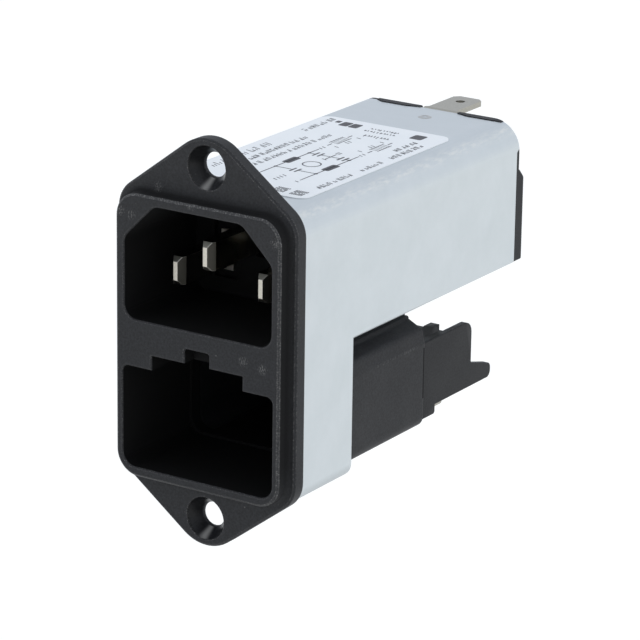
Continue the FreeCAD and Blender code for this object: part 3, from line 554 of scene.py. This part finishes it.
# Terminal boxes as v and their word's v, plain fields as start, end, v and width, lined fields as start and v
TERMINALS = ((9.4, 10.9), (16.15, 14.8))
TERMINAL_LEADS = (24.9, 30.2)
TERMINAL_LEAD_L = 1.2
TERMINAL_ENDS = (26.4, 30.1)
TERMINAL_R = 0.7
TERMINAL_TICKS = (24.9, 27.6, 28.3, 30.7)
HATCH_START = 26.6
HATCH_STEP = 0.6
HATCH_R = 0.6
HATCH_LEAN = 0.2
HATCH_COUNT = 6
FIELDS = ((35.2, 37.3, 5.2, 1.5), (35.1, 37.2, 6.9, 1.5), (36.3, 37.3, 3.6, 0.8), (35.0, 37.2, 17.6, 2.0))
LINED_FIELDS = ((1.3, 16.6), (1.2, 19.6))
LINED_L = 2.1
LINED_STEP = 0.3
LINED_COUNT = 7
LINED_BREAK = 0.25

label_low, label_high = (Vector(corner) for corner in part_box("rating_label"))
print_rng = random.Random(11)


def ink_bar():
    """One bar of ink, a millimetre square with rounded corners, which every stroke is copied from."""
    bpy.ops.mesh.primitive_plane_add(size=MM)
    bar = bpy.context.object
    bpy.ops.object.mode_set(mode="EDIT")
    bpy.ops.mesh.select_all(action="SELECT")
    bpy.ops.mesh.bevel(offset=0.14 * MM, offset_pct=0, segments=2, affect="VERTICES")
    bpy.ops.object.mode_set(mode="OBJECT")
    return bar


def on_label(u, v):
    """Place above the label for print coordinates."""
    return Vector((label_low.x + v * MM, label_low.y + u * MM, label_high.z + MM))


def stroke(start, end, width):
    """Copy of the bar, stretched from one print coordinate to another."""
    first, last = on_label(*start), on_label(*end)
    run = last - first
    bar = bpy.data.objects.new("stroke", ink_master.data.copy())
    bpy.context.scene.collection.objects.link(bar)
    turn = Matrix.Rotation(math.atan2(run.y, run.x), 4, "Z")
    bar.data.transform(Matrix.Translation((first + last) / 2) @ turn
                       @ Matrix.Diagonal((run.length / MM, width, 1, 1)))
    strokes.append(bar)


def ticks(places, v, low, high, lean):
    """Slanted ticks at these places in u, from below v to above it."""
    for u in places:
        stroke((u, v + low), (u + lean, v - high), TICK_W)


def tick_row(start, end, v, height):
    """Row of slanted ticks and dashes that stands for a line of small print."""
    u = start
    while u < end:
        lean = TICK_LEAN * height
        for _ in range(2):
            top = height * print_rng.choice((1.0, 1.0, 0.72, 0.5))
            stroke((u, v + height / 2), (u + lean, v + height / 2 - top), TICK_W)
            u += height * print_rng.uniform(0.3, 0.42)
        if print_rng.random() < 0.6:
            level = v + height * print_rng.choice((-0.4, 0.05, 0.42))
            stroke((u - 0.55 * height, level), (u - 0.1 * height, level), TICK_W)
        u += height * print_rng.choice((0.16, 0.16, 0.5))


def tick_column(start, end, u, height):
    """The same row turned to run across the label."""
    v = start
    while v < end:
        top = height * print_rng.choice((1.0, 0.7, 0.5))
        stroke((u + height / 2, v), (u + height / 2 - top, v + 0.1), TICK_W)
        if print_rng.random() < 0.5:
            stroke((u, v - 0.1), (u, v + 0.35), TICK_W)
        v += print_rng.uniform(0.42, 0.62)


def circuit():
    """Two lines with a filled coil box each, capacitors that bridge them, and a short line across the second bridge,
    with ticks for words at the lines' ends."""
    for line_v, coil_u in LINES:
        stroke((LINE_ENDS[0], line_v), (LINE_ENDS[1], line_v), LINE_W)
        stroke((coil_u, line_v), (coil_u + COIL_L, line_v), COIL_W)
        for dot_u, *_ in BRIDGES:
            stroke((dot_u - DOT_R, line_v), (dot_u + DOT_R, line_v), DOT_W)
        ticks(TAIL_TICKS, line_v, low=0.35, high=0.35, lean=0.25)
    for bridge_u, leads, (plate_start, plate_end), plates in BRIDGES:
        for low_v, high_v in leads:
            stroke((bridge_u, low_v), (bridge_u, high_v), LINE_W)
        for plate_v in plates:
            stroke((plate_start, plate_v), (plate_end, plate_v), PLATE_W)
    stroke((CROSS_ENDS[0], CROSS_V), (CROSS_ENDS[1], CROSS_V), LINE_W)
    ticks(CROSS_TICKS, CROSS_V, low=0.4, high=0.5, lean=0.2)
    ticks(SIDE_TICKS, CROSS_V, low=0.4, high=0.4, lean=0.3)


def terminal(box_v, word_v):
    """Hatched box between two short leads, with ticks for words beside it."""
    for lead_u in TERMINAL_LEADS:
        stroke((lead_u, box_v), (lead_u + TERMINAL_LEAD_L, box_v), LINE_W)
    for edge_v in (box_v - TERMINAL_R, box_v + TERMINAL_R):
        stroke((TERMINAL_ENDS[0], edge_v), (TERMINAL_ENDS[1], edge_v), BOX_EDGE_W)
    for line in range(HATCH_COUNT):
        hatch_u = HATCH_START + HATCH_STEP * line
        stroke((hatch_u, box_v + HATCH_R), (hatch_u + HATCH_LEAN, box_v - HATCH_R), HATCH_W)
    ticks(TERMINAL_TICKS, word_v, low=0.4, high=0.4, lean=0.15)


def lined_field(start, v):
    """Stack of lines about v, each with one break at a place of its own."""
    for line in range(LINED_COUNT):
        level = v + LINED_STEP * (line - LINED_COUNT // 2)
        gap = print_rng.uniform(0.4, 1.6)
        stroke((start, level), (start + gap, level), LINE_W)
        stroke((start + gap + LINED_BREAK, level), (start + LINED_L, level), LINE_W)


def core_ring():
    """Ring between the circuit's lines."""
    bpy.ops.mesh.primitive_circle_add(vertices=36, radius=RING_R * MM, fill_type="NGON", location=on_label(*RING_AT))
    bpy.ops.object.mode_set(mode="EDIT")
    bpy.ops.mesh.select_all(action="SELECT")
    bpy.ops.mesh.inset(thickness=RING_W * MM)
    bpy.ops.mesh.delete(type="FACE")
    bpy.ops.object.mode_set(mode="OBJECT")
    bpy.ops.object.transform_apply(location=True)
    return bpy.context.object


ink_master = ink_bar()
strokes = []
for row in PRINT_ROWS:
    tick_row(*row)
for column in PRINT_COLUMNS:
    tick_column(*column)
circuit()
for box_v, word_v in TERMINALS:
    terminal(box_v, word_v)
for start, end, v, width in FIELDS:
    stroke((start, v), (end, v), width)
for start, v in LINED_FIELDS:
    lined_field(start, v)
ring = core_ring()

# All strokes become one piece, laid on the film and given its thickness.
bpy.data.objects.remove(ink_master)
bpy.ops.object.select_all(action="DESELECT")
for bar in strokes:
    bar.select_set(True)
ring.select_set(True)
bpy.context.view_layer.objects.active = ring
bpy.ops.object.join()
label_print = bpy.context.object
label_print.name = "label_print"
wrap = label_print.modifiers.new("lay_on_film", "SHRINKWRAP")
wrap.target = nodes["rating_label"]
wrap.wrap_method = "PROJECT"
wrap.use_project_z = True
wrap.use_positive_direction = False
wrap.use_negative_direction = True
wrap.offset = INK_LIFT
bpy.ops.object.modifier_apply(modifier=wrap.name)
body = label_print.modifiers.new("ink_body", "SOLIDIFY")
body.thickness = INK_T
body.offset = 1
bpy.ops.object.modifier_apply(modifier=body.name)
label_print.data.materials.clear()
label_print.data.materials.append(printed_ink())
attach(label_print, "root")


# Weld spot on the can's top, over the earth tab's root

WELD_X = 0.45 * MM
WELD_Y = 52.4 * MM
WELD_R = 1.05 * MM
WELD_T = 0.2 * MM
WELD_INSET = 0.2 * MM
WELD_LIFTS = (0.07, 0.04, -0.1, -0.03)


def weld_spot():
    """Shallow ring with a hollow middle, where the electrode pressed the sheet."""
    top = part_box("metal_can")[1][2]
    bpy.ops.mesh.primitive_cylinder_add(vertices=40, radius=WELD_R, depth=WELD_T,
                                        location=(WELD_X, WELD_Y, top - WELD_T / 2))
    spot_piece = bpy.context.object
    bpy.ops.object.mode_set(mode="EDIT")
    bpy.ops.mesh.select_mode(type="FACE")
    bpy.ops.mesh.select_all(action="DESELECT")
    bpy.ops.object.mode_set(mode="OBJECT")
    for face in spot_piece.data.polygons:
        face.select = face.normal.z > 0.9
    bpy.ops.object.mode_set(mode="EDIT")
    for lift in WELD_LIFTS:
        bpy.ops.mesh.inset(thickness=WELD_INSET)
        bpy.ops.transform.translate(value=(0, 0, lift * MM))
    bpy.ops.object.mode_set(mode="OBJECT")
    bpy.ops.object.transform_apply(location=True)
    bpy.ops.object.shade_smooth_by_angle(angle=math.radians(40))
    spot_piece.name = "weld_spot"
    # Tin that the weld heated: patchy, in duller greys than the sheet
    tinted = grained("heat_tinted_tin", "#8e9092", "#d2d3d0", grain_size=0.4, roughness=0.3, metallic=1.0)
    spot_piece.data.materials.append(tinted)
    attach(spot_piece, "root")


weld_spot()


# Two CAD pieces with groups of their points moved: how far, and which points

SLEEVE_SHIFT = spot(0, 0, -1.05)
SLEEVE_END = 13.0 * MM
SLEEVE_BELOW = 10.0 * MM
FLOOR_SHIFT = spot(0, 0, -0.3)
FLOOR_BAND = 0.6 * MM
CORNER_SHIFT = spot(0.02, 0.66, 0.02)
CORNER_X = 9.1 * MM
CORNER_H = 4.0 * MM
REAR_Y = 56.9 * MM
RAMP_SHIFT = spot(0, -2.4, 0)
NUB_FRONT = 38.25 * MM
NUB_FOOT = -7.0 * MM
NUB_BAND = 0.05 * MM


def reshaped(node, name, moves):
    """Merged copy of a CAD piece, with groups of its points moved, that takes the piece's place."""
    shell = bpy.data.objects.new(name, nodes[node].data.copy())
    bpy.context.scene.collection.objects.link(shell)
    bpy.ops.object.select_all(action="DESELECT")
    shell.select_set(True)
    bpy.context.view_layer.objects.active = shell
    bpy.ops.object.mode_set(mode="EDIT")
    bpy.ops.mesh.select_mode(type="VERT")
    bpy.ops.mesh.select_all(action="SELECT")
    bpy.ops.mesh.remove_doubles(threshold=0.001 * MM)
    for shift, takes in moves:
        bpy.ops.mesh.select_all(action="DESELECT")
        bpy.ops.object.mode_set(mode="OBJECT")
        for vertex in shell.data.vertices:
            vertex.select = takes(vertex.co)
        bpy.ops.object.mode_set(mode="EDIT")
        bpy.ops.transform.translate(value=shift)
    bpy.ops.object.mode_set(mode="OBJECT")
    bpy.ops.object.shade_smooth_by_angle(angle=math.radians(30))
    flats = shell.modifiers.new("flat_sides", "WEIGHTED_NORMAL")
    flats.keep_sharp = True
    flats.weight = 100
    bpy.ops.object.modifier_apply(modifier=flats.name)
    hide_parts(node)
    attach(shell, "root")


# The can: its sleeve reaches further down under the housing, its floor lies lower over the block, and its near upper
# corner reaches back over the cap's rim.
can_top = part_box("metal_can")[1][2]
can_floor = min(v.co.z for v in nodes["metal_can"].data.vertices if v.co.y > 2 * SLEEVE_END)
reshaped("metal_can", "can_shell", (
    (SLEEVE_SHIFT, lambda co: co.z < can_floor - SLEEVE_BELOW),
    (FLOOR_SHIFT, lambda co: co.y > SLEEVE_END and abs(co.z - can_floor) < FLOOR_BAND),
    (CORNER_SHIFT, lambda co: co.y > REAR_Y and co.x > CORNER_X and co.z > can_top - CORNER_H)))

# The carrier: its nubs rise as ramps from the shelf.
reshaped("contact_carrier", "carrier_body", (
    (RAMP_SHIFT, lambda co: abs(co.y - NUB_FRONT) < NUB_BAND and abs(co.z - NUB_FOOT) < NUB_BAND),))


# Stage, light and camera

FLOOR_SIZE = 60
FLOOR_Z = -0.16
PAPER_TONE = "#faf8f2"
SKY_TINT = (0.89, 0.93, 1.01, 1)
SKY_STRENGTH = 0.95
LAMP_TINT = (1, 0.95, 0.8)
SENSOR_MM = 36
PHOTO_PX = 640
FOCAL_PX = 3572.92
AZIMUTH = math.radians(32.94)
ELEVATION = math.radians(18.05)
ROLL = math.radians(0.82)
# The camera's place to the right of, above and back from the point that it is measured from
STAND_RIGHT = 16.62
STAND_UP = 4.06
STAND_BACK = 482.17
STAND_FROM = (0, -4.7, 0)

bpy.ops.mesh.primitive_plane_add(size=FLOOR_SIZE, location=(0, 0, FLOOR_Z))
floor = bpy.context.object
floor.name = "studio_floor"
# Uncoated white paper, matt and slightly warm, lit a little from within so that it stays pale in the shade
paper, paper_tree, paper_shader, _ = new_material("white_paper")
fill(paper_tree, paper_shader, {"Base Color": linear(PAPER_TONE), "Roughness": 0.9,
                                "Emission Color": linear("#ffffff"), "Emission Strength": 0.2})
floor.data.materials.append(paper)

world = bpy.data.worlds.new("studio")
bpy.context.scene.world = world
world.use_nodes = True
fill(world.node_tree, world.node_tree.nodes["Background"], {"Color": SKY_TINT, "Strength": SKY_STRENGTH})
bpy.context.scene.view_settings.view_transform = "Standard"


def softbox(name, place, aim, size, watts, tint):
    """Square area light that looks at a point."""
    lamp = bpy.data.objects.new(name, bpy.data.lights.new(name, "AREA"))
    lamp.data.size = size
    lamp.data.energy = watts
    lamp.data.color = tint
    turn = (Vector(place) - Vector(aim)).to_track_quat("Z", "Y")
    lamp.matrix_world = Matrix.Translation(place) @ turn.to_matrix().to_4x4()
    bpy.context.scene.collection.objects.link(lamp)


def photo_camera():
    """Camera at the photograph's viewing angle, from the pinhole fit."""
    data = bpy.data.cameras.new("camera")
    data.sensor_width = SENSOR_MM
    data.lens = FOCAL_PX / PHOTO_PX * SENSOR_MM
    back = Vector((math.sin(AZIMUTH) * math.cos(ELEVATION), -math.cos(AZIMUTH) * math.cos(ELEVATION),
                   math.sin(ELEVATION)))
    level = Vector((math.cos(AZIMUTH), math.sin(AZIMUTH), 0))
    rise = back.cross(level)
    right = level * math.cos(ROLL) + rise * math.sin(ROLL)
    up = rise * math.cos(ROLL) - level * math.sin(ROLL)
    stand = (right * STAND_RIGHT + up * STAND_UP + back * STAND_BACK + Vector(STAND_FROM)) * MM
    camera = bpy.data.objects.new("camera", data)
    camera.matrix_world = Matrix.Translation(stand) @ Matrix((right, up, back)).transposed().to_4x4()
    bpy.context.scene.collection.objects.link(camera)
    return camera


softbox("back_box", place=(0.55, 0.8, 0.3), aim=(0, 0.02, 0), size=0.9, watts=0.36, tint=LAMP_TINT)
bpy.context.scene.camera = photo_camera()
